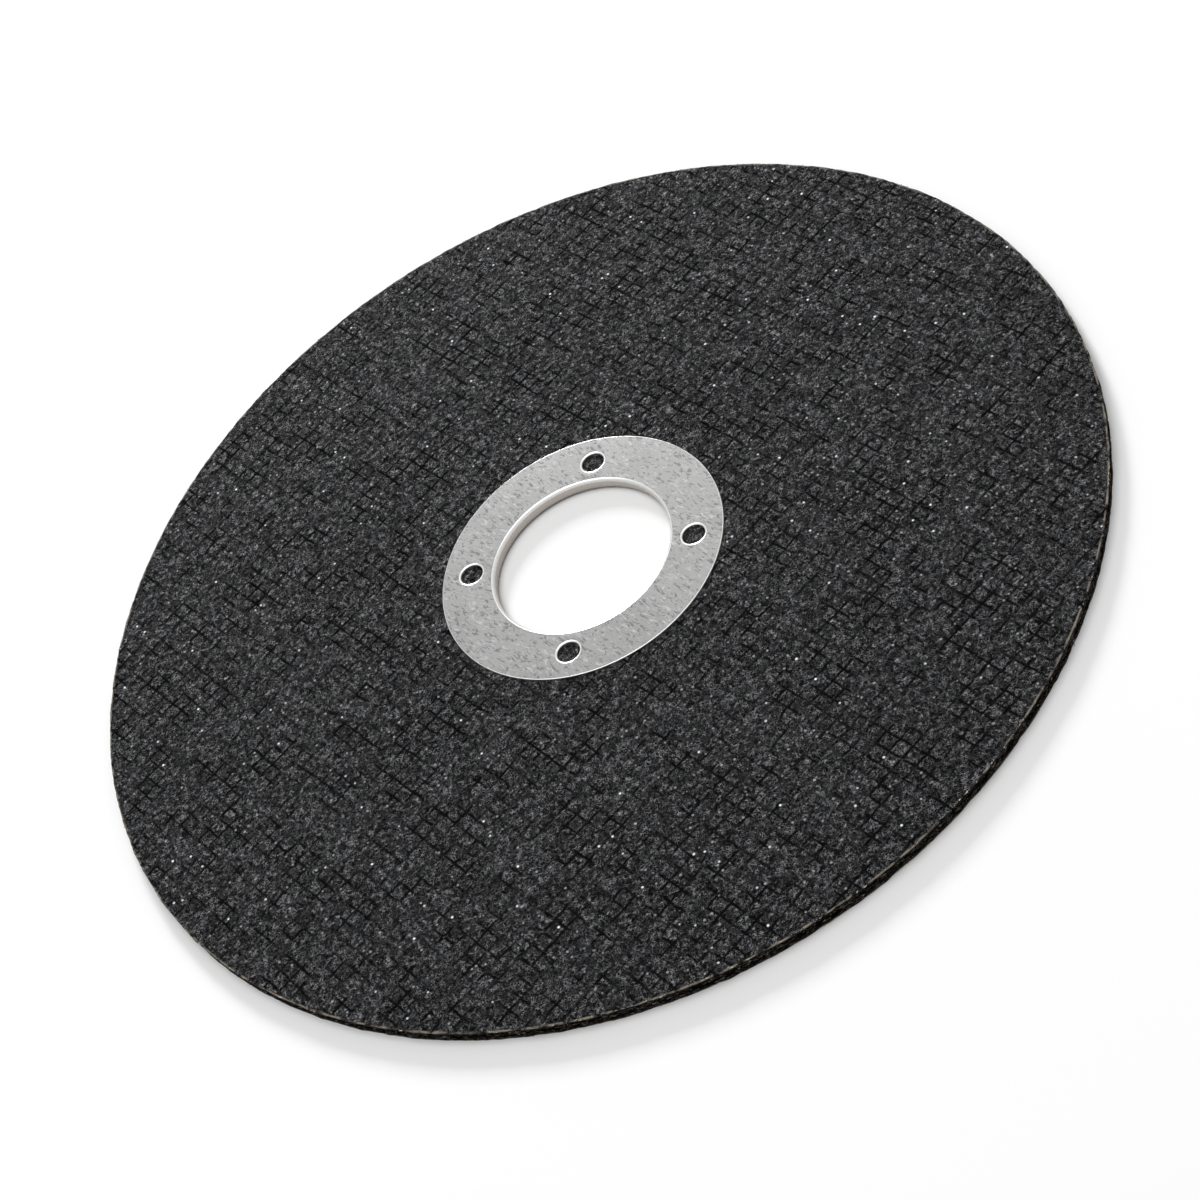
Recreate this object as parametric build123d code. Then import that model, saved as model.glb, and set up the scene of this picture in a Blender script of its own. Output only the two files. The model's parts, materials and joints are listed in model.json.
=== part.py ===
"""A thin cutting disc: bonded abrasive between two woven glass fabrics, with a pressed steel centre ring.

The disc lies on its rear face. Z is the bore axis, with z = 0 at the rear face and the ring on the front.
All sizes are in millimetres.
"""

from build123d import *
import math
import os

# Disc
disc_diameter = 125.0
disc_thickness = 1.6
rim_setback = 0.12  # the core is worn back from the fabrics' cut edge by this much

# Woven glass fabric, one on each face
fabric_wall = 0.20  # resin-soaked cloth under its raised yarns
yarn_height = 0.12
yarn_pitch = 1.95
groove_top_width = 0.60
groove_floor_width = 0.25

# Centre ring, pressed from sheet
bore_diameter = 22.23
ring_diameter = 35.5
ring_sheet = 0.30
ring_proud = 0.12  # how far the ring stands above the yarns
ring_seat_gap = 0.05
bend_inside_radius = 0.10
collar_setback = 0.35  # from the rear face up to the collar's end
ring_edge_round = 0.08
hole_edge_round = 0.20

# Grip holes through the ring's flange
hole_count = 4
hole_diameter = 2.8
hole_place = 0.415  # where the hole circle lies on the flat flange, from 0 at the bend to 1 at the rim
first_hole_angle = 40.6  # degrees from the fabric's weft, which runs along X

# Places that follow from those sizes
disc_radius = disc_diameter / 2
core_radius = disc_radius - rim_setback
bore_radius = bore_diameter / 2
collar_outer_radius = bore_radius + ring_sheet
body_bore_radius = collar_outer_radius + bend_inside_radius
bend_outside_radius = bend_inside_radius + ring_sheet
bend_axis_radius = bore_radius + bend_outside_radius
hole_circle_radius = bend_axis_radius + hole_place * (ring_diameter / 2 - bend_axis_radius)
fabric_thickness = fabric_wall + yarn_height
front_fabric_bottom = disc_thickness - fabric_thickness
ring_top = disc_thickness + ring_proud
ring_underside = ring_top - ring_sheet
ring_seat_radius = ring_diameter / 2 + ring_seat_gap


def annulus(outer_radius, inner_radius, bottom, top):
    """A flat ring about the bore axis, from height bottom up to height top."""
    section = make_face(
        Polyline(
            (inner_radius, 0, bottom),
            (outer_radius, 0, bottom),
            (outer_radius, 0, top),
            (inner_radius, 0, top),
            close=True,
        )
    )
    return revolve(section, Axis.Z)


def yarn_rows():
    """The Y positions of the raised weft yarns, with one yarn through the bore axis."""
    rows_each_side = int(disc_radius / yarn_pitch)
    return [row * yarn_pitch for row in range(-rows_each_side, rows_each_side + 1)]


def fabric_sheet():
    """A square of cloth lying on z = 0, wall down, with a raised yarn for each row."""
    half_top = (yarn_pitch - groove_top_width) / 2
    half_foot = (yarn_pitch - groove_floor_width) / 2
    edge = disc_radius + yarn_pitch
    outline = [(0, -edge, 0), (0, -edge, fabric_wall)]
    for y in yarn_rows():
        outline.append((0, y - half_foot, fabric_wall))
        outline.append((0, y - half_top, fabric_thickness))
        outline.append((0, y + half_top, fabric_thickness))
        outline.append((0, y + half_foot, fabric_wall))
    outline += [(0, edge, fabric_wall), (0, edge, 0)]
    section = make_face(Polyline(*outline, close=True))
    return Pos(-edge, 0, 0) * extrude(section, amount=2 * edge, dir=(1, 0, 0))


def fabric_disc():
    """The cloth cut round, with its bore, lying on z = 0 with the yarns up."""
    return fabric_sheet() & annulus(disc_radius, body_bore_radius, 0, fabric_thickness)


def front_glass_mesh():
    """The front fabric, with the round seat that the centre ring is pressed into."""
    cloth = Pos(0, 0, front_fabric_bottom) * fabric_disc()
    seat = Pos(0, 0, ring_underside + ring_sheet / 2) * Cylinder(ring_seat_radius, ring_sheet)
    return cloth - seat


def rear_glass_mesh():
    """The rear fabric, yarns down."""
    return mirror(Pos(0, 0, -fabric_thickness) * fabric_disc(), Plane.XY)


def abrasive_core():
    """The bonded grain between the fabrics."""
    return annulus(core_radius, body_bore_radius, fabric_thickness, front_fabric_bottom)


def ring_blank():
    """The pressed ring before its holes: a flat flange that bends down into a collar in the bore."""
    bend_height = ring_top - bend_outside_radius
    slant = math.sqrt(0.5)

    def bend(radius):
        """The quarter circle of the bend, from the flange down to the collar."""
        return ThreePointArc(
            (bend_axis_radius, 0, bend_height + radius),
            (bend_axis_radius - radius * slant, 0, bend_height + radius * slant),
            (bend_axis_radius - radius, 0, bend_height),
        )

    flange_and_collar = [
        Line((bend_axis_radius, 0, ring_underside), (ring_diameter / 2, 0, ring_underside)),
        Line((ring_diameter / 2, 0, ring_underside), (ring_diameter / 2, 0, ring_top)),
        Line((ring_diameter / 2, 0, ring_top), (bend_axis_radius, 0, ring_top)),
        bend(bend_outside_radius),
        Line((bore_radius, 0, bend_height), (bore_radius, 0, collar_setback)),
        Line((bore_radius, 0, collar_setback), (collar_outer_radius, 0, collar_setback)),
        Line((collar_outer_radius, 0, collar_setback), (collar_outer_radius, 0, bend_height)),
        bend(bend_inside_radius),
    ]
    return revolve(make_face(Wire(flange_and_collar)), Axis.Z)


def centre_ring():
    """The pressed ring with its grip holes, and its upper edges rounded."""
    drills = PolarLocations(hole_circle_radius, hole_count, first_hole_angle)
    hole_depth = 3 * ring_sheet  # clear of the flange on both sides
    holes = [
        spot * Pos(0, 0, ring_top) * Cylinder(hole_diameter / 2, hole_depth)
        for spot in drills
    ]
    ring = ring_blank() - holes
    ring = fillet(upper_circles(ring, hole_diameter / 2), hole_edge_round)
    return fillet(upper_circles(ring, ring_diameter / 2), ring_edge_round)


def upper_circles(ring, radius):
    """The edges of that radius in the flange's upper face."""
    return [
        edge
        for edge in ring.edges().filter_by(GeomType.CIRCLE)
        if abs(edge.center().Z - ring_top) < 1e-6 and abs(edge.radius - radius) < 1e-6
    ]


parts = {
    "abrasive_core": abrasive_core(),
    "front_glass_mesh": front_glass_mesh(),
    "rear_glass_mesh": rear_glass_mesh(),
    "centre_ring": centre_ring(),
}

os.makedirs("parts", exist_ok=True)
for name, shape in parts.items():
    export_step(shape, f"parts/{name}.step")
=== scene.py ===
"""Looks of a thin cutting disc: coated glass fabric, bonded abrasive rim and a plated steel centre ring.

Lengths are in metres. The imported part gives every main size.
Each piece below, apart from the glass ends, stands for one of its nodes.
"""

import json
import math
import random

import bmesh
import bpy
from bpy.props import FloatProperty, FloatVectorProperty, IntProperty, PointerProperty
from mathutils import Euler, Matrix, Vector, noise


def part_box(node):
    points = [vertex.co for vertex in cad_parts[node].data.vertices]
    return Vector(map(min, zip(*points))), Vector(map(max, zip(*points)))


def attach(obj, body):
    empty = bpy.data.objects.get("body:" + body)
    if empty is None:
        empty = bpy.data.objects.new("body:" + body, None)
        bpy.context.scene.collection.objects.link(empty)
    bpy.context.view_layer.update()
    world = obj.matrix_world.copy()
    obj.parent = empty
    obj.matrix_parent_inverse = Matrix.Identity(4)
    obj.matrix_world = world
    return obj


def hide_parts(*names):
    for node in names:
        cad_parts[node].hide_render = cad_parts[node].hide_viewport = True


bl_info = {
    "name": "Abrasive Disc",
    "version": (1, 0, 0),
    "blender": (4, 5, 0),
    "location": "3D Viewport > Sidebar > Abrasive Disc",
    "description": "Builds the woven faces, the gritty rim and the steel ring of a thin cutting disc",
    "category": "Object",
}

MM = 0.001

# Mesh steps round the bore axis, and up the height of the core's rim
RIM_STEPS = 1080
SEAT_STEPS = 256
CORE_STEPS = 1440
CORE_ROWS = 6
RING_STEPS = 288
HOLE_STEPS = 72

# How far a cutting shape reaches past what it cuts, above and below
CUT_ABOVE = 1 * MM
CUT_BELOW = 0.1 * MM

# Clear width between the ring and its seat in the front fabric
SEAT_GAP = 0.05 * MM

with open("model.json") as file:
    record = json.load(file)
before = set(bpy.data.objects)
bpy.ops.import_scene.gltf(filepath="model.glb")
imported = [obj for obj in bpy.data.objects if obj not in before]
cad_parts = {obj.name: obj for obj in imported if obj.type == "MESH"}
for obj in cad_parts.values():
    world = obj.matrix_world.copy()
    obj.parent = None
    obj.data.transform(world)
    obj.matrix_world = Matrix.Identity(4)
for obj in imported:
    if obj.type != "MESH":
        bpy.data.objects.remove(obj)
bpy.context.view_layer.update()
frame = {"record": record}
core_low, core_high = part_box("abrasive_core")
front_low, front_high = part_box("front_glass_mesh")
rear_low, rear_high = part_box("rear_glass_mesh")
ring_low, ring_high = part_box("centre_ring")
mounts = {mount["name"]: mount for mount in frame["record"]["mounts"]}
bore_radius = mounts["arbor_bore"]["dims"]["r_mm"] * MM


# Sizes and colours that a user would change


class DiscSizes(bpy.types.PropertyGroup):
    """Sizes of the bonded disc and of the cloth on its faces."""

    radius: FloatProperty(
        name="Disc radius", description="Outer radius of both fabrics",
        default=front_high.x, unit="LENGTH",
    )
    body_bore_radius: FloatProperty(
        name="Body bore", description="Radius of the hole through fabrics and core, outside the collar",
        default=bore_radius + 0.4 * MM, unit="LENGTH",
    )
    warp_pitch: FloatProperty(
        name="Warp pitch", description="Spacing of the yarns that run along Y",
        default=1.76 * MM, unit="LENGTH",
    )
    weft_pitch: FloatProperty(
        name="Weft pitch", description="Spacing of the yarns that run along X",
        default=1.95 * MM, unit="LENGTH",
    )
    yarn_relief: FloatProperty(
        name="Yarn relief", description="Height of a yarn's crown above the gap beside it",
        default=0.11 * MM, unit="LENGTH",
    )
    yarn_wander: FloatProperty(
        name="Yarn wander", description="How far a yarn strays from its straight line",
        default=0.22 * MM, unit="LENGTH",
    )
    steps_per_yarn: IntProperty(
        name="Steps per yarn", description="Mesh steps across one yarn", default=5, min=2, max=8,
    )
    rim_roughness: FloatProperty(
        name="Rim roughness", description="How far the cut edge strays from its circle",
        default=0.09 * MM, unit="LENGTH",
    )
    chip_count: IntProperty(
        name="Glass ends", description="Cut yarn ends that catch the light on each edge", default=420,
    )


class RingSizes(bpy.types.PropertyGroup):
    """Sizes of the pressed centre ring."""

    sheet: FloatProperty(
        name="Sheet", description="Thickness of the pressed sheet",
        default=0.30 * MM, unit="LENGTH",
    )
    bend_radius: FloatProperty(
        name="Bend", description="Outside radius of the bend from flange to collar",
        default=0.40 * MM, unit="LENGTH",
    )
    edge_round: FloatProperty(
        name="Edge round", description="Rounding of the flange's upper edges",
        default=0.09 * MM, unit="LENGTH",
    )
    hole_radius: FloatProperty(
        name="Hole radius", description="Radius of the grip holes", default=1.4 * MM, unit="LENGTH",
    )
    hole_round: FloatProperty(
        name="Hole edge", description="How far out from a grip hole its edge is rounded over",
        default=0.30 * MM, unit="LENGTH",
    )
    hole_circle_radius: FloatProperty(
        name="Hole circle", description="Radius of the circle that the grip holes lie on",
        default=14.1 * MM, unit="LENGTH",
    )
    first_hole_angle: FloatProperty(
        name="First hole", description="Turn of the first grip hole from +X",
        default=math.radians(40.6), unit="ROTATION",
    )
    hole_count: IntProperty(name="Holes", description="Number of grip holes", default=4)


class DiscColours(bpy.types.PropertyGroup):
    """Base colours of the finishes."""

    coating: FloatVectorProperty(
        name="Coating", description="Black resin over the cloth",
        default=(0.0075, 0.0075, 0.0078), size=3, subtype="COLOR",
    )
    # The grit's lighter tone; brighter copies of it are the painted glints.
    grain_and_glint: FloatVectorProperty(
        name="Grain", description="Lighter facets of the grit in the coating",
        default=(0.215, 0.215, 0.226), size=3, subtype="COLOR",
    )
    # Painted shade: the near-black painted into the gaps between yarns, into pits and into the rim's low
    # spots; the fabric's side wall takes it as its base too.
    crease_shade: FloatVectorProperty(
        name="Crease", description="Gaps between yarns",
        default=(0.003, 0.003, 0.003), size=3, subtype="COLOR",
    )
    core: FloatVectorProperty(
        name="Core", description="Bonded abrasive at the rim",
        default=(0.016, 0.014, 0.012), size=3, subtype="COLOR",
    )
    # The cut ends' own colour; the rim's painted glints use it as well.
    cut_glass: FloatVectorProperty(
        name="Cut glass", description="Cut ends of the glass yarns",
        default=(0.52, 0.45, 0.36), size=3, subtype="COLOR",
    )
    # Painted highlight: a much brighter steel on every rounded edge, the bend and the hole edges of the
    # ring.
    edge_highlight: FloatVectorProperty(
        name="Painted edge highlight", description="Rounded edges of the ring",
        default=(0.66, 0.655, 0.64), size=3, subtype="COLOR",
    )
    collar: FloatVectorProperty(
        name="Collar wall", description="Slightly brown wall inside the bore",
        default=(0.50, 0.46, 0.42), size=3, subtype="COLOR",
    )
    steel: FloatVectorProperty(
        name="Steel", description="Plated sheet of the ring",
        default=(0.228, 0.228, 0.226), size=3, subtype="COLOR",
    )


class StageSettings(bpy.types.PropertyGroup):
    """Camera, floor and lights."""

    azimuth: FloatProperty(
        name="Azimuth", description="Camera's turn about Z, from looking along +Y",
        default=math.radians(-18.6), unit="ROTATION",
    )
    elevation: FloatProperty(
        name="Elevation", description="Camera's height above the disc's face",
        default=math.radians(45.46), unit="ROTATION",
    )
    roll: FloatProperty(
        name="Roll", description="Camera's turn about its own line of sight",
        default=math.radians(-32.97), unit="ROTATION",
    )
    distance: FloatProperty(
        name="Distance", description="From the camera to the point it looks at",
        default=315.5 * MM, unit="LENGTH",
    )
    aim_x: FloatProperty(
        name="Aim X", description="Point on the front face that the camera looks at",
        default=-3.48 * MM, unit="LENGTH",
    )
    aim_y: FloatProperty(
        name="Aim Y", description="Point on the front face that the camera looks at",
        default=-7.16 * MM, unit="LENGTH",
    )
    lens: FloatProperty(
        name="Lens", description="Focal length in millimetres on a 36 mm sensor", default=82.6,
    )
    key_power: FloatProperty(
        name="Key", description="Power of the large soft lamp", default=12.0, unit="POWER",
    )
    low_power: FloatProperty(
        name="Low", description="Power of the low lamp", default=22.0, unit="POWER",
    )
    sky: FloatProperty(name="Sky", description="Strength of the even light from all round", default=0.42)


# Shader building


class Shader:
    """A material's node tree with short calls for the nodes that the finishes use."""

    def __init__(self, name):
        self.material = bpy.data.materials.new(name)
        self.material.use_nodes = True
        self.tree = self.material.node_tree
        self.tree.nodes.clear()
        self.output = self.tree.nodes.new("ShaderNodeOutputMaterial")
        self.surface = self.tree.nodes.new("ShaderNodeBsdfPrincipled")
        self.join(self.surface.outputs["BSDF"], self.output.inputs["Surface"])

    def join(self, source, socket):
        self.tree.links.new(source, socket)

    def feed(self, socket, value):
        """Links an output to a socket, or sets the socket to a plain value."""
        if isinstance(value, bpy.types.NodeSocket):
            self.join(value, socket)
        else:
            socket.default_value = value

    def put(self, name, value):
        """Feeds one input of the surface."""
        self.feed(self.surface.inputs[name], value)

    def object_coordinates(self):
        return self.tree.nodes.new("ShaderNodeTexCoord").outputs["Object"]

    def stretched(self, vector, scale, turn=0.0):
        node = self.tree.nodes.new("ShaderNodeMapping")
        self.join(vector, node.inputs["Vector"])
        node.inputs["Scale"].default_value = scale
        node.inputs["Rotation"].default_value = (0, 0, turn)
        return node.outputs["Vector"]

    def attribute(self, name, output="Fac"):
        """A value kept on the mesh: one number, or three with the output "Vector"."""
        node = self.tree.nodes.new("ShaderNodeAttribute")
        node.attribute_name = name
        return node.outputs[output]

    def joined(self, first, second, third):
        node = self.tree.nodes.new("ShaderNodeCombineXYZ")
        for socket, value in zip(node.inputs, (first, second, third)):
            self.feed(socket, value)
        return node.outputs["Vector"]

    def noise(self, vector, scale, detail=2.0, roughness=0.5, distortion=0.0):
        node = self.tree.nodes.new("ShaderNodeTexNoise")
        self.join(vector, node.inputs["Vector"])
        node.inputs["Scale"].default_value = scale
        node.inputs["Detail"].default_value = detail
        node.inputs["Roughness"].default_value = roughness
        node.inputs["Distortion"].default_value = distortion
        return node.outputs["Fac"]

    def cells(self, vector, scale):
        """Random cells, with the distance from each one's middle and a colour for each."""
        node = self.tree.nodes.new("ShaderNodeTexVoronoi")
        self.join(vector, node.inputs["Vector"])
        node.inputs["Scale"].default_value = scale
        return node

    def maths(self, operation, first, second=0.0, third=0.0):
        node = self.tree.nodes.new("ShaderNodeMath")
        node.operation = operation
        for socket, value in zip(node.inputs, (first, second, third)):
            self.feed(socket, value)
        return node.outputs["Value"]

    def times(self, first, second):
        return self.maths("MULTIPLY", first, second)

    def plus(self, first, second):
        return self.maths("ADD", first, second)

    def minus(self, first, second):
        return self.maths("SUBTRACT", first, second)

    def reach(self, x, y):
        """Distance from the bore axis."""
        return self.maths("SQRT", self.plus(self.times(x, x), self.times(y, y)))

    def between(self, value, low, high, out_low=0.0, out_high=1.0):
        """Maps value from low..high to out_low..out_high with soft ends."""
        node = self.tree.nodes.new("ShaderNodeMapRange")
        node.interpolation_type = "SMOOTHSTEP"
        self.join(value, node.inputs["Value"])
        node.inputs["From Min"].default_value = low
        node.inputs["From Max"].default_value = high
        node.inputs["To Min"].default_value = out_low
        node.inputs["To Max"].default_value = out_high
        return node.outputs["Result"]

    def mixed(self, factor, first, second):
        node = self.tree.nodes.new("ShaderNodeMix")
        node.data_type = "RGBA"
        self.feed(node.inputs["Factor"], factor)
        self.feed(node.inputs["A"], first)
        self.feed(node.inputs["B"], second)
        return node.outputs["Result"]

    def parts_of(self, vector):
        node = self.tree.nodes.new("ShaderNodeSeparateXYZ")
        self.join(vector, node.inputs["Vector"])
        return node.outputs["X"], node.outputs["Y"], node.outputs["Z"]

    def bump(self, height, distance, strength):
        node = self.tree.nodes.new("ShaderNodeBump")
        self.join(height, node.inputs["Height"])
        node.inputs["Distance"].default_value = distance
        node.inputs["Strength"].default_value = strength
        return node.outputs["Normal"]


def rgba(colour, gain=1.0):
    return (colour[0] * gain, colour[1] * gain, colour[2] * gain, 1.0)


def curled_grit(shader, place, scale, sharpness):
    """Thin curling ridges, as grit makes in thick resin: 1 on a ridge and 0 away from it."""
    field = shader.noise(place, scale, detail=1.0, distortion=0.9)
    swing = shader.maths("ABSOLUTE", shader.minus(field, 0.5))
    return shader.between(swing, 0.0, sharpness, 1.0, 0.0)


def coated_cloth_finish(colours, disc):
    """Black resin and grit over a plain weave, with shade painted near-black into the creases between
    the yarns and into pits, and glints painted as bright specks.
    """
    shader = Shader("black_coated_cloth")
    place = shader.object_coordinates()
    across, along, _ = shader.parts_of(shader.attribute("weave", "Vector"))
    waver = shader.noise(place, 900.0, detail=2.0)
    shift = shader.maths("MULTIPLY_ADD", waver, 0.16, -0.08)
    warp_gap = shader.maths("PINGPONG", shader.plus(shader.plus(across, shift), 0.5), 0.5)
    weft_gap = shader.maths("PINGPONG", shader.plus(shader.plus(along, shift), 0.5), 0.5)
    # Masks of the creases between yarns, where shade is painted near-black and the bump dips.
    warp_crease = shader.between(warp_gap, 0.05, 0.12, 1.0, 0.0)
    weft_crease = shader.between(weft_gap, 0.05, 0.12, 1.0, 0.0)
    patchy = shader.between(shader.noise(place, 380.0, detail=3.0), 0.34, 0.62)
    crease_shade = shader.times(shader.maths("MAXIMUM", warp_crease, weft_crease), patchy)

    coarse_curls = curled_grit(shader, place, 1800.0, 0.034)
    fine_curls = curled_grit(shader, place, 2900.0, 0.040)
    # Pits: small hollows that the bump sinks and that get painted shade.
    pits = shader.between(shader.noise(place, 2300.0, detail=2.0, roughness=0.6), 0.34, 0.50, 1.0, 0.0)
    lit = shader.between(shader.noise(place, 1500.0, detail=1.0), 0.40, 0.64, 0.25, 1.0)
    curls = shader.times(shader.maths("MAXIMUM", coarse_curls, fine_curls), lit)

    # Painted glints: a few cell middles get bright specks that stand for light caught by the grit.
    grain_and_glint = shader.cells(place, 1150.0)
    speck = shader.between(grain_and_glint.outputs["Distance"], 0.10, 0.24, 1.0, 0.0)
    chosen = shader.parts_of(grain_and_glint.outputs["Color"])
    glint = shader.times(speck, shader.between(chosen[0], 0.93, 0.99))
    dim_glint = shader.times(speck, shader.between(chosen[1], 0.72, 0.90))

    colour = shader.mixed(curls, rgba(colours.coating), rgba(colours.grain_and_glint))
    # Painted shade in the pits and in the creases between yarns.
    colour = shader.mixed(shader.times(pits, 0.85), colour, rgba(colours.crease_shade))
    colour = shader.mixed(shader.times(crease_shade, 0.9), colour, rgba(colours.crease_shade))
    # Painted glints, dim and bright, at 2.2 and 4.2 times the grain's colour.
    colour = shader.mixed(shader.times(dim_glint, 0.6), colour, rgba(colours.grain_and_glint, 2.2))
    colour = shader.mixed(glint, colour, rgba(colours.grain_and_glint, 4.2))

    x, y, z = shader.parts_of(place)
    reach = shader.reach(x, y)
    side = shader.attribute("side")
    threads = curled_grit(shader, along_rim(shader, place, disc), 1400.0, 0.05)
    torn = shader.mixed(shader.times(threads, 0.5), rgba(colours.crease_shade), rgba(colours.cut_glass, 0.22))
    colour = shader.mixed(side, colour, torn)
    edge = shader.between(reach, disc.radius - 0.26 * MM, disc.radius - 0.14 * MM)
    middle = (front_high.z + rear_low.z) / 2
    outermost = shader.between(shader.maths("ABSOLUTE", shader.minus(z, middle)), 0.60 * MM, 0.70 * MM)
    frayed = shader.times(edge, shader.between(shader.noise(place, 600.0, detail=3.0), 0.42, 0.60))
    frayed = shader.times(frayed, outermost)
    colour = shader.mixed(shader.times(frayed, 0.8), colour, rgba(colours.cut_glass, 0.5))
    shader.put("Base Color", colour)

    relief = shader.plus(shader.times(curls, 0.7), shader.times(pits, -0.6))
    relief = shader.plus(relief, shader.times(crease_shade, -1.2))
    relief = shader.plus(relief, shader.times(dim_glint, 0.6))
    shader.put("Normal", shader.bump(relief, 0.05 * MM, 0.9))
    shader.put("Roughness", shader.between(curls, 0.0, 1.0, 0.72, 0.42))
    # Less gloss in the pits and creases, which deepens their painted shade.
    hollow = shader.maths("MAXIMUM", pits, crease_shade)
    gloss = shader.times(shader.between(curls, 0.0, 1.0, 0.03, 0.34), shader.minus(1.0, hollow))
    shader.put("Specular IOR Level", gloss)
    return shader.material


def along_rim(shader, place, disc):
    """Coordinates that follow the rim: arc length, height stretched threefold, and radius."""
    x, y, z = shader.parts_of(place)
    arc = shader.times(shader.maths("ARCTAN2", y, x), disc.radius)
    reach = shader.reach(x, y)
    return shader.joined(arc, shader.times(z, 3.0), reach)


def bonded_grain_finish(colours, disc):
    """The abrasive at the rim: near-black resin with grit and threads dragged along the cut, shade
    painted into its low spots, highlights painted on the threads and glints painted as specks.
    """
    shader = Shader("trimmed_grain")
    place = along_rim(shader, shader.object_coordinates(), disc)
    threads = curled_grit(shader, place, 1500.0, 0.05)
    clusters = shader.noise(place, 1100.0, detail=3.0, roughness=0.6)
    grain_and_glint = shader.cells(place, 1500.0)
    lump = shader.parts_of(grain_and_glint.outputs["Color"])
    # Painted shade: where the clusters, which also set the bump's height, are low, the core darkens to
    # the crease shade.
    colour = shader.mixed(shader.between(clusters, 0.45, 0.70), rgba(colours.crease_shade), rgba(colours.core))
    # Painted highlights: threads, which the bump also raises, are brightened to twelve times the core's
    # colour where the clusters are middling.
    lit = shader.times(threads, shader.between(clusters, 0.42, 0.58))
    colour = shader.mixed(shader.times(lit, 0.9), colour, rgba(colours.core, 12.0))
    # Painted glints: bright specks of the cut glass colour at a few cell middles.
    speck = shader.between(grain_and_glint.outputs["Distance"], 0.12, 0.3, 1.0, 0.0)
    glint = shader.times(shader.between(lump[0], 0.82, 0.92), speck)
    colour = shader.mixed(glint, colour, rgba(colours.cut_glass, 0.9))
    shader.put("Base Color", colour)
    height = shader.plus(clusters, shader.times(threads, 0.35))
    shader.put("Normal", shader.bump(height, 0.16 * MM, 1.0))
    shader.put("Roughness", 0.55)
    shader.put("Specular IOR Level", shader.times(lit, 0.4))
    return shader.material


def cut_glass_finish(colours):
    """Pale, slightly tan ends of glass yarn, some clear and some smeared with resin."""
    shader = Shader("cut_glass")
    place = shader.object_coordinates()
    smear = shader.between(shader.noise(place, 260.0, detail=3.0), 0.40, 0.62)
    colour = shader.mixed(smear, rgba(colours.cut_glass, 0.35), rgba(colours.cut_glass, 1.35))
    shader.put("Base Color", colour)
    shader.put("Roughness", shader.between(smear, 0.0, 1.0, 0.5, 0.25))
    threads = shader.noise(place, 5200.0, detail=1.0)
    shader.put("Normal", shader.bump(threads, 0.02 * MM, 0.6))
    return shader.material


def plated_steel_finish(colours):
    """Zinc plated sheet with short flecks along the rolling direction, and a highlight painted on its
    rounded edges.
    """
    shader = Shader("zinc_plated_sheet")
    place = shader.object_coordinates()
    streaky = shader.stretched(place, (3300.0, 1100.0, 900.0), turn=math.radians(6))
    flecks = shader.noise(streaky, 1.0, detail=2.0, roughness=0.55, distortion=0.9)
    cloudy = shader.between(shader.noise(place, 160.0, detail=3.0), 0.35, 0.65)
    dark = shader.between(flecks, 0.36, 0.45, 1.0, 0.0)
    light = shader.between(flecks, 0.56, 0.67)
    colour = shader.mixed(cloudy, rgba(colours.steel, 0.95), rgba(colours.steel, 1.05))
    colour = shader.mixed(shader.times(dark, 0.85), colour, rgba(colours.steel, 0.36))
    colour = shader.mixed(shader.times(light, 0.85), colour, rgba(colours.steel, 1.75))
    colour = shader.mixed(shader.attribute("collar"), colour, rgba(colours.collar))
    # Painted highlight on the rounded edges.
    colour = shader.mixed(shader.attribute("edge_highlight"), colour, rgba(colours.edge_highlight))
    shader.put("Base Color", colour)
    shader.put("Metallic", 1.0)
    shader.put("Roughness", shader.between(flecks, 0.3, 0.7, 0.36, 0.26))
    shader.put("Normal", shader.bump(flecks, 0.012 * MM, 0.8))
    return shader.material


# Mesh helpers


def new_piece(work, name, finish, node):
    """Turns a bmesh into an object that rides on the body. It stands for a node, unless that is None."""
    piece = as_object(work, name)
    piece.data.materials.append(finish)
    if node:
        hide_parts(node)
    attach(piece, "root")
    return piece


def spun(profile, steps, closed=True):
    """A solid of revolution about Z from (radius, height) points. A closed profile makes a ring."""
    work = bmesh.new()
    points = [work.verts.new((radius, 0, height)) for radius, height in profile]
    pairs = list(zip(points, points[1:]))
    if closed:
        pairs.append((points[-1], points[0]))
    edges = [work.edges.new(pair) for pair in pairs]
    bmesh.ops.spin(
        work, geom=points + edges, cent=(0, 0, 0), axis=(0, 0, 1),
        angle=2 * math.pi, steps=steps, use_merge=True,
    )
    bmesh.ops.remove_doubles(work, verts=work.verts, dist=1e-7)
    bmesh.ops.recalc_face_normals(work, faces=work.faces)
    return work


def tube_section(inner, outer, low, high):
    """The section of a plain ring about Z."""
    return [(inner, low), (outer, low), (outer, high), (inner, high)]


def arc(radius, start, end, steps, centre):
    """Points on an arc of a section, with angles in degrees from the outward direction."""
    points = []
    for step in range(steps + 1):
        turn = math.radians(start + (end - start) * step / steps)
        points.append((centre[0] + radius * math.cos(turn), centre[1] + radius * math.sin(turn)))
    return points


def as_object(work, name):
    """Turns a bmesh into a loose object."""
    mesh = bpy.data.meshes.new(name)
    work.to_mesh(mesh)
    work.free()
    thing = bpy.data.objects.new(name, mesh)
    bpy.context.scene.collection.objects.link(thing)
    return thing


def cut(target, cutter, operation):
    """Applies one boolean to the target and removes the cutter."""
    modifier = target.modifiers.new(operation.lower(), "BOOLEAN")
    modifier.operation = operation
    modifier.object = cutter
    modifier.solver = "MANIFOLD"
    graph = bpy.context.evaluated_depsgraph_get()
    result = bpy.data.meshes.new_from_object(target.evaluated_get(graph))
    result.materials.clear()
    target.modifiers.clear()
    old = target.data
    target.data = result
    bpy.data.meshes.remove(old)
    bpy.data.objects.remove(cutter)


# Woven faces


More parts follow.
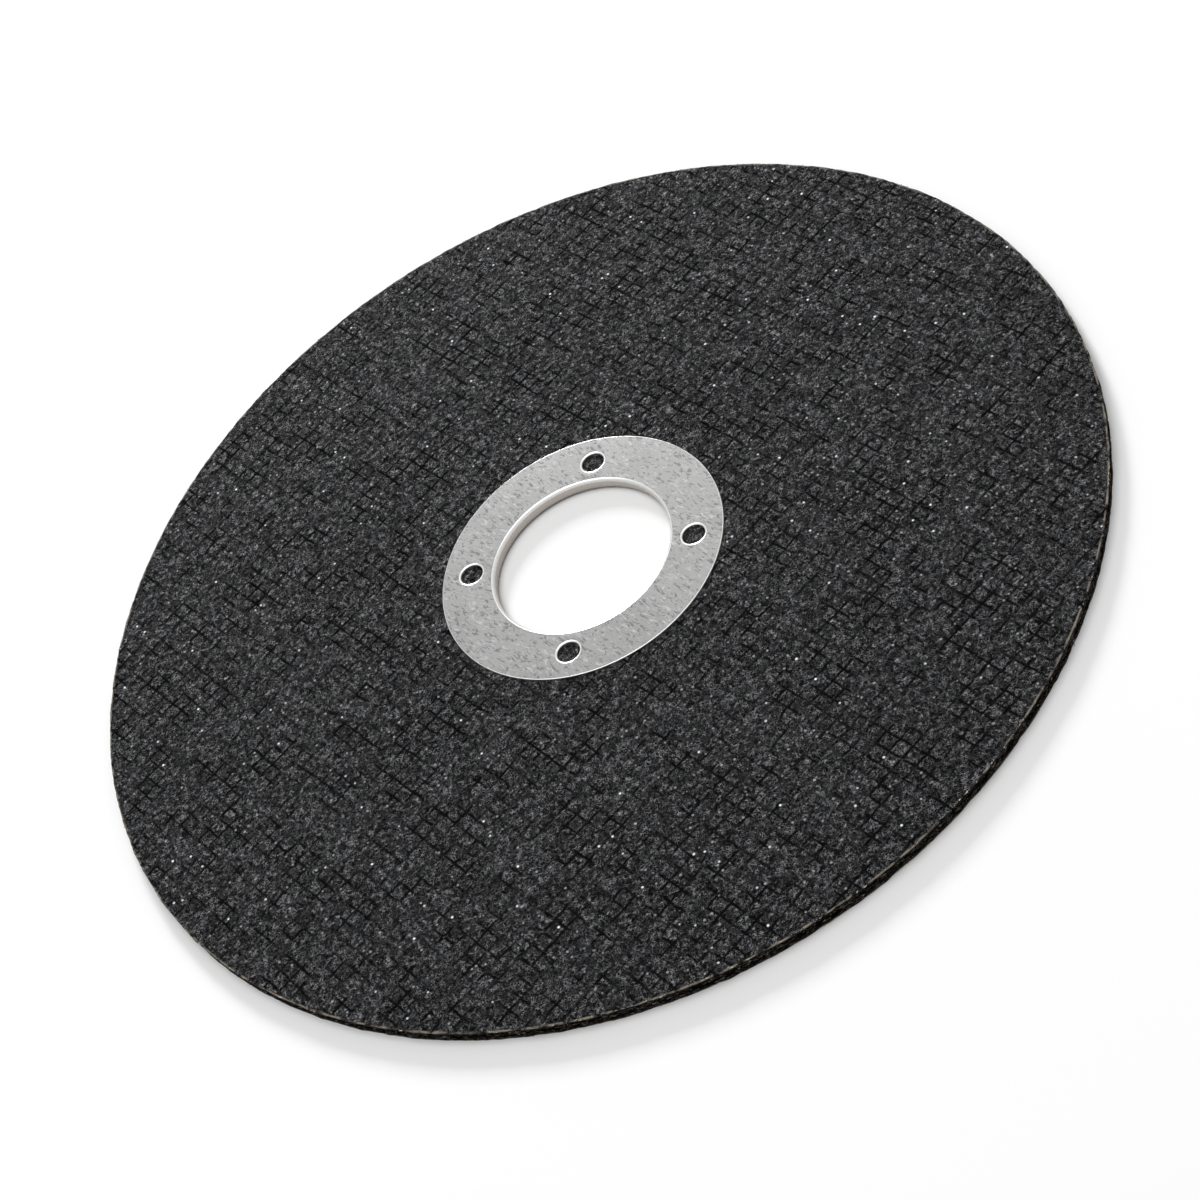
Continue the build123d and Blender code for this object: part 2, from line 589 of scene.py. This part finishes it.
def wander(across, along, disc):
    """How far the cloth's yarns stray at a place in the weave, in metres along X and Y."""
    slow = noise.noise_vector(Vector((across * 0.16, along * 0.17, 3.0)))
    quick = noise.noise_vector(Vector((across * 0.55, along * 0.6, 8.0)))
    return (slow.x + 0.45 * quick.x) * disc.yarn_wander, (slow.y + 0.45 * quick.y) * disc.yarn_wander


def weave_place(x, y, disc):
    """The place in the weave, counted in yarns, of a point on the disc."""
    across, along = x / disc.warp_pitch, y / disc.weft_pitch
    for _ in range(3):
        shift_x, shift_y = wander(across, along, disc)
        across = (x - shift_x) / disc.warp_pitch
        along = (y - shift_y) / disc.weft_pitch
    return across, along


def yarn_crown(offset, half_width=0.47):
    """The rounded section of a yarn: 1 on its middle and 0 at its side."""
    return math.sqrt(max(0.0, 1.0 - (offset / half_width) ** 2))


def weave_height(across, along):
    """Height of a plain weave from 0 in a gap to 1 on a crown. Yarns pass over and under by turns."""
    warp_number, weft_number = round(across), round(along)
    warp_lift = 0.5 + 0.5 * math.cos(math.pi * (along + warp_number))
    weft_lift = 0.5 - 0.5 * math.cos(math.pi * (across + weft_number))
    warp = yarn_crown(across - warp_number) * (0.55 + 0.45 * warp_lift)
    weft = yarn_crown(along - weft_number) * (0.55 + 0.45 * weft_lift)
    return max(warp, weft)


def woven_blank(disc, top, bottom):
    """A thick square of cloth with its weave on top and a flat back, larger than the disc."""
    reach = disc.radius + 2 * MM
    half_warps, half_wefts = reach / disc.warp_pitch, reach / disc.weft_pitch
    columns = round(2 * half_warps * disc.steps_per_yarn)
    rows = round(2 * half_wefts * disc.steps_per_yarn)
    middle_across = columns / disc.steps_per_yarn / 2
    middle_along = rows / disc.steps_per_yarn / 2
    work = bmesh.new()
    bmesh.ops.create_grid(work, x_segments=columns, y_segments=rows, size=1.0)
    for point in work.verts:
        column = round((point.co.x + 1.0) * 0.5 * columns)
        row = round((point.co.y + 1.0) * 0.5 * rows)
        across = column / disc.steps_per_yarn - middle_across
        along = row / disc.steps_per_yarn - middle_along
        shift_x, shift_y = wander(across, along, disc)
        x, y = across * disc.warp_pitch + shift_x, along * disc.weft_pitch + shift_y
        lump = noise.noise(Vector((x, y, 0)) * 1100.0) * 0.014 * MM
        dip = 1.0 - weave_height(across, along)
        point.co = (x, y, top - dip * disc.yarn_relief + lump)
    border = [edge for edge in work.edges if edge.is_boundary]
    wall = bmesh.ops.extrude_edge_only(work, edges=border)["geom"]
    foot = [item for item in wall if isinstance(item, bmesh.types.BMVert)]
    for point in foot:
        point.co.z = bottom
    bmesh.ops.contextual_create(
        work, geom=[edge for edge in work.edges if edge.is_boundary]
    )
    bmesh.ops.recalc_face_normals(work, faces=work.faces)
    return work


def rough_edge(angle, height, disc):
    """How far the cut edge stands out or in at a place round the rim."""
    spot = Vector((math.cos(angle), math.sin(angle), 0)) * disc.radius
    spot.z = height
    nicks = noise.noise(spot * 420.0) + 0.6 * noise.noise(spot * 1500.0)
    return nicks * disc.rim_roughness


def woven_face(disc, finish, name, node, low, high, seat_height=None):
    """One coated fabric, cut round and bored, with the weave on its outer side."""
    piece = as_object(woven_blank(disc, high, low), name)
    rim = tube_section(disc.body_bore_radius, disc.radius, low - CUT_BELOW, high + CUT_ABOVE)
    cut(piece, as_object(spun(rim, RIM_STEPS), "round_cutter"), "INTERSECT")
    if seat_height is not None:
        seat_radius = ring_high.x + SEAT_GAP
        inside_bore = 0.5 * disc.body_bore_radius
        seat = tube_section(inside_bore, seat_radius, seat_height, high + CUT_ABOVE)
        cut(piece, as_object(spun(seat, SEAT_STEPS), "seat_cutter"), "DIFFERENCE")
    on_rim = disc.radius - 0.01 * MM
    setback = 0.3 * disc.rim_roughness  # keeps most of the rough edge inside the circle
    work = bmesh.new()
    work.from_mesh(piece.data)
    bmesh.ops.remove_doubles(work, verts=work.verts, dist=1e-7)
    for point in work.verts:
        reach = math.hypot(point.co.x, point.co.y)
        if reach > on_rim:
            angle = math.atan2(point.co.y, point.co.x)
            grown = (disc.radius + rough_edge(angle, point.co.z, disc) - setback) / reach
            point.co.x *= grown
            point.co.y *= grown
    work.to_mesh(piece.data)
    work.free()
    store_weave(piece.data, disc)
    side = piece.data.attributes.new("side", "FLOAT", "FACE")
    side.data.foreach_set("value", [float(abs(face.normal.z) < 0.4) for face in piece.data.polygons])
    piece.data.materials.append(finish)
    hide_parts(node)
    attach(piece, "root")
    return piece


def store_weave(mesh, disc):
    """Keeps each point's place in the weave on the mesh, for the finish to follow."""
    layer = mesh.attributes.new("weave", "FLOAT_VECTOR", "POINT")
    flat = []
    for point in mesh.vertices:
        across, along = weave_place(point.co.x, point.co.y, disc)
        flat += (across, along, 0.0)
    layer.data.foreach_set("vector", flat)


def turn_over(piece, height):
    """Mirrors a piece about a level plane, with its faces still pointing outwards."""
    work = bmesh.new()
    work.from_mesh(piece.data)
    for point in work.verts:
        point.co.z = 2 * height - point.co.z
    bmesh.ops.reverse_faces(work, faces=work.faces)
    work.to_mesh(piece.data)
    work.free()


# Operators


class ABRASIVE_OT_front_fabric(bpy.types.Operator):
    """Coated glass fabric on the front face, with the seat of the ring."""

    bl_idname = "abrasive.front_fabric"
    bl_label = "Front fabric"

    def execute(self, context):
        disc = context.scene.disc_sizes
        woven_face(
            disc, bpy.data.materials["black_coated_cloth"], "front_fabric", "front_glass_mesh",
            front_low.z, front_high.z, seat_height=ring_high.z - context.scene.ring_sizes.sheet,
        )
        return {"FINISHED"}


class ABRASIVE_OT_rear_fabric(bpy.types.Operator):
    """Coated glass fabric on the rear face."""

    bl_idname = "abrasive.rear_fabric"
    bl_label = "Rear fabric"

    def execute(self, context):
        disc = context.scene.disc_sizes
        piece = woven_face(
            disc, bpy.data.materials["black_coated_cloth"], "rear_fabric", "rear_glass_mesh",
            rear_low.z, rear_high.z,
        )
        turn_over(piece, (rear_low.z + rear_high.z) / 2)
        return {"FINISHED"}


class ABRASIVE_OT_bonded_core(bpy.types.Operator):
    """Bonded abrasive between the fabrics, rough where it shows at the rim."""

    bl_idname = "abrasive.bonded_core"
    bl_label = "Bonded core"

    def execute(self, context):
        disc = context.scene.disc_sizes
        low, high = core_low.z, core_high.z
        profile = [(disc.body_bore_radius, low)]
        profile += [(core_high.x, low + (high - low) * row / CORE_ROWS) for row in range(CORE_ROWS + 1)]
        profile += [(disc.body_bore_radius, high)]
        work = spun(profile, CORE_STEPS)
        for point in work.verts:
            reach = math.hypot(point.co.x, point.co.y)
            if reach > disc.body_bore_radius + 1 * MM:
                angle = math.atan2(point.co.y, point.co.x)
                step_in = 0.05 * MM if low < point.co.z < high else 0.0
                grown = (reach + rough_edge(angle, point.co.z + 5 * MM, disc) * 1.1 - step_in) / reach
                point.co.x *= grown
                point.co.y *= grown
        grain_and_glint = bpy.data.materials["trimmed_grain"]
        new_piece(work, "bonded_core", grain_and_glint, "abrasive_core")
        return {"FINISHED"}


class ABRASIVE_OT_glass_ends(bpy.types.Operator):
    """Cut ends of the glass yarns along the rim's two edges."""

    bl_idname = "abrasive.glass_ends"
    bl_label = "Glass ends"

    def execute(self, context):
        disc = context.scene.disc_sizes
        dice = random.Random(17)
        work = bmesh.new()
        levels = (
            (front_high.z - 0.02 * MM, disc.chip_count),
            (rear_low.z + 0.08 * MM, disc.chip_count // 2),
        )
        for level, count in levels:
            for _ in range(count):
                angle = dice.uniform(0, 2 * math.pi)
                length = dice.choice((0.10, 0.14, 0.2, 0.3, 0.5)) * MM
                width = dice.uniform(0.05, 0.10) * MM
                height = dice.uniform(0.04, 0.08) * MM
                chip = bmesh.ops.create_icosphere(work, subdivisions=1, radius=0.5)["verts"]
                reach = disc.radius - dice.uniform(-0.02, 0.12) * MM
                place = Matrix.Translation((
                    reach * math.cos(angle), reach * math.sin(angle),
                    level + dice.uniform(-0.04, 0.02) * MM,
                ))
                turn = Euler((
                    dice.uniform(-0.4, 0.4), dice.uniform(-0.5, 0.5),
                    angle + dice.uniform(-0.5, 0.5),
                )).to_matrix().to_4x4()
                size = Matrix.Diagonal((width, length, height, 1))
                bmesh.ops.transform(work, matrix=place @ turn @ size, verts=chip)
        glass = bpy.data.materials["cut_glass"]
        new_piece(work, "glass_ends", glass, None)
        return {"FINISHED"}


class ABRASIVE_OT_centre_ring(bpy.types.Operator):
    """Pressed ring with its collar, bend and four grip holes."""

    bl_idname = "abrasive.centre_ring"
    bl_label = "Centre ring"

    def execute(self, context):
        ring = context.scene.ring_sizes
        top, under = ring_high.z, ring_high.z - ring.sheet
        outer, edge = ring_high.x, ring.edge_round
        bend_centre = (bore_radius + ring.bend_radius, top - ring.bend_radius)
        lip = 0.04 * MM  # rounding of the collar's lower end

        profile = arc(edge, 0, 90, 4, (outer - edge, top - edge))
        profile += arc(ring.bend_radius, 90, 180, 8, bend_centre)
        profile += arc(lip, 180, 270, 2, (bore_radius + lip, ring_low.z + lip))
        profile += [(bore_radius + ring.sheet, ring_low.z)]
        profile += arc(ring.bend_radius - ring.sheet, 180, 90, 3, bend_centre)
        profile += [(outer, under)]
        piece = as_object(spun(profile, RING_STEPS), "centre_ring_finished")
        depth = ring.sheet / 2  # how far down a hole's edge is rounded over
        past_round = 1.01 * ring.hole_round
        for number in range(ring.hole_count):
            angle = ring.first_hole_angle + 2 * math.pi * number / ring.hole_count
            hole = [(0, under - CUT_ABOVE)]
            hole += [(ring.hole_radius, under - CUT_ABOVE), (ring.hole_radius, top - depth)]
            for turn in (math.radians(15 * step) for step in range(1, 7)):
                spread = ring.hole_round * (1 - math.cos(turn))
                hole.append((ring.hole_radius + spread, top - depth + depth * math.sin(turn)))
            hole += [(ring.hole_radius + past_round, top + CUT_ABOVE), (0, top + CUT_ABOVE)]
            cutter = spun(hole, HOLE_STEPS, closed=False)
            offset = Vector((math.cos(angle), math.sin(angle), 0)) * ring.hole_circle_radius
            bmesh.ops.translate(cutter, verts=cutter.verts, vec=offset)
            cut(piece, as_object(cutter, "hole_cutter"), "DIFFERENCE")
        self.mark_highlight_and_collar(piece.data, top - ring.bend_radius)
        for face in piece.data.polygons:
            face.use_smooth = True
        piece.data.set_sharp_from_angle(angle=math.radians(35))
        flat_flange = piece.modifiers.new("flat_flange", "WEIGHTED_NORMAL")
        flat_flange.keep_sharp = True
        piece.data.materials.append(bpy.data.materials["zinc_plated_sheet"])
        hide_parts("centre_ring")
        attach(piece, "root")
        return {"FINISHED"}

    def mark_highlight_and_collar(self, mesh, bend_foot):
        """Marks each face of a rounded edge, bend or hole edge, which gets the painted edge highlight,
        and each one in the collar's wall.
        """
        edge_highlight = mesh.attributes.new("edge_highlight", "FLOAT", "FACE")
        collar = mesh.attributes.new("collar", "FLOAT", "FACE")
        for face in mesh.polygons:
            tilt = abs(face.normal.z)
            is_wall = tilt < 0.15 and face.center.z < bend_foot
            is_edge = tilt < 0.985 and not is_wall
            collar.data[face.index].value = float(is_wall)
            edge_highlight.data[face.index].value = float(is_edge)


class ABRASIVE_OT_finishes(bpy.types.Operator):
    """The four finishes of the disc."""

    bl_idname = "abrasive.finishes"
    bl_label = "Finishes"

    def execute(self, context):
        colours, disc = context.scene.disc_colours, context.scene.disc_sizes
        coated_cloth_finish(colours, disc)
        bonded_grain_finish(colours, disc)
        cut_glass_finish(colours)
        plated_steel_finish(colours)
        return {"FINISHED"}


class ABRASIVE_OT_stage(bpy.types.Operator):
    """Pale floor, soft lamps and the camera at the photograph's angle."""

    bl_idname = "abrasive.stage"
    bl_label = "Stage"

    def execute(self, context):
        stage = context.scene.stage_settings
        self.camera(context, stage)
        self.floor(context)
        self.sky(context, stage)
        self.lamps(context, stage)
        context.scene.view_settings.view_transform = "Standard"
        return {"FINISHED"}

    def camera(self, context, stage):
        data = bpy.data.cameras.new("camera")
        data.sensor_width = 36
        data.lens = stage.lens
        data.clip_start = 0.01
        camera = bpy.data.objects.new("camera", data)
        context.scene.collection.objects.link(camera)
        context.scene.camera = camera
        back = Vector((
            math.sin(stage.azimuth) * math.cos(stage.elevation),
            -math.cos(stage.azimuth) * math.cos(stage.elevation),
            math.sin(stage.elevation),
        ))
        upright = (-back).to_track_quat("-Z", "Y").to_matrix().to_4x4()
        aim = Vector((stage.aim_x, stage.aim_y, front_high.z))
        roll = Matrix.Rotation(stage.roll, 4, "Z")
        camera.matrix_world = Matrix.Translation(aim + back * stage.distance) @ upright @ roll

    def floor(self, context):
        """A matt pale floor that turns into even white light where the lamps no longer reach."""
        pale, black, white = (0.93, 0.93, 0.93, 1), (0, 0, 0, 1), (1, 1, 1, 1)
        half_side = 3.0
        work = bmesh.new()
        bmesh.ops.create_grid(work, x_segments=2, y_segments=2, size=half_side)
        floor = as_object(work, "floor")
        floor.location.z = rear_low.z
        shader = Shader("pale_floor")
        x, y, _ = shader.parts_of(shader.object_coordinates())
        far = shader.between(shader.reach(x, y), 0.18, 0.60)
        shader.put("Base Color", shader.mixed(far, pale, black))
        shader.put("Emission Strength", far)
        shader.put("Emission Color", white)
        shader.put("Roughness", 0.9)
        shader.put("Specular IOR Level", 0.0)
        floor.data.materials.append(shader.material)

    def sky(self, context, stage):
        """Even light from all round, which the camera and mirror-like faces see as white."""
        world = bpy.data.worlds.new("sky")
        context.scene.world = world
        world.use_nodes = True
        tree = world.node_tree
        background = tree.nodes["Background"]
        rays = tree.nodes.new("ShaderNodeLightPath")
        seen = tree.nodes.new("ShaderNodeMath")
        seen.operation = "MAXIMUM"
        tree.links.new(rays.outputs["Is Camera Ray"], seen.inputs[0])
        tree.links.new(rays.outputs["Is Glossy Ray"], seen.inputs[1])
        strength = tree.nodes.new("ShaderNodeMapRange")
        strength.inputs["To Min"].default_value = stage.sky
        strength.inputs["To Max"].default_value = 1.0
        tree.links.new(seen.outputs["Value"], strength.inputs["Value"])
        tree.links.new(strength.outputs["Result"], background.inputs["Strength"])
        background.inputs["Color"].default_value = (1, 1, 1, 1)

    def lamps(self, context, stage):
        """A large lamp above, and a small low one that throws the rim's shadow."""
        above, low_behind = Vector((-0.10, 0.15, 1.5)), Vector((0.64, 1.42, 0.56))
        self.lamp(context, "key_lamp", stage.key_power, width=1.4, place=above)
        self.lamp(context, "low_lamp", stage.low_power, width=0.3, place=low_behind)

    def lamp(self, context, name, power, width, place):
        data = bpy.data.lights.new(name, "AREA")
        data.energy = power
        data.size = width
        lamp = bpy.data.objects.new(name, data)
        lamp.location = place
        lamp.rotation_mode = "QUATERNION"
        lamp.rotation_quaternion = (-place).to_track_quat("-Z", "Y")
        context.scene.collection.objects.link(lamp)


class ABRASIVE_PT_panel(bpy.types.Panel):
    """Lists the disc's sizes, colours, stage settings and building steps."""

    bl_label = "Abrasive Disc"
    bl_idname = "ABRASIVE_PT_panel"
    bl_space_type = "VIEW_3D"
    bl_region_type = "UI"
    bl_category = "Abrasive Disc"

    def draw(self, context):
        for group_name in GROUPS:
            group = getattr(context.scene, group_name)
            box = self.layout.box()
            for name in group.bl_rna.properties.keys():
                if name not in ("rna_type", "name"):
                    box.prop(group, name)
        for step in STEPS:
            self.layout.operator(step.bl_idname)


GROUPS = {
    "disc_sizes": DiscSizes,
    "ring_sizes": RingSizes,
    "disc_colours": DiscColours,
    "stage_settings": StageSettings,
}
STEPS = (
    ABRASIVE_OT_stage,
    ABRASIVE_OT_finishes,
    ABRASIVE_OT_front_fabric,
    ABRASIVE_OT_rear_fabric,
    ABRASIVE_OT_bonded_core,
    ABRASIVE_OT_glass_ends,
    ABRASIVE_OT_centre_ring,
)


def register():
    for group in GROUPS.values():
        bpy.utils.register_class(group)
    for step in STEPS:
        bpy.utils.register_class(step)
    bpy.utils.register_class(ABRASIVE_PT_panel)
    for name, group in GROUPS.items():
        setattr(bpy.types.Scene, name, PointerProperty(type=group))


def unregister():
    for name in GROUPS:
        delattr(bpy.types.Scene, name)
    bpy.utils.unregister_class(ABRASIVE_PT_panel)
    for step in reversed(STEPS):
        bpy.utils.unregister_class(step)
    for group in reversed(list(GROUPS.values())):
        bpy.utils.unregister_class(group)


def main():
    register()
    bpy.ops.abrasive.stage()
    bpy.ops.abrasive.finishes()
    bpy.ops.abrasive.front_fabric()
    bpy.ops.abrasive.rear_fabric()
    bpy.ops.abrasive.bonded_core()
    bpy.ops.abrasive.glass_ends()
    bpy.ops.abrasive.centre_ring()


if __name__ == "__main__":
    main()
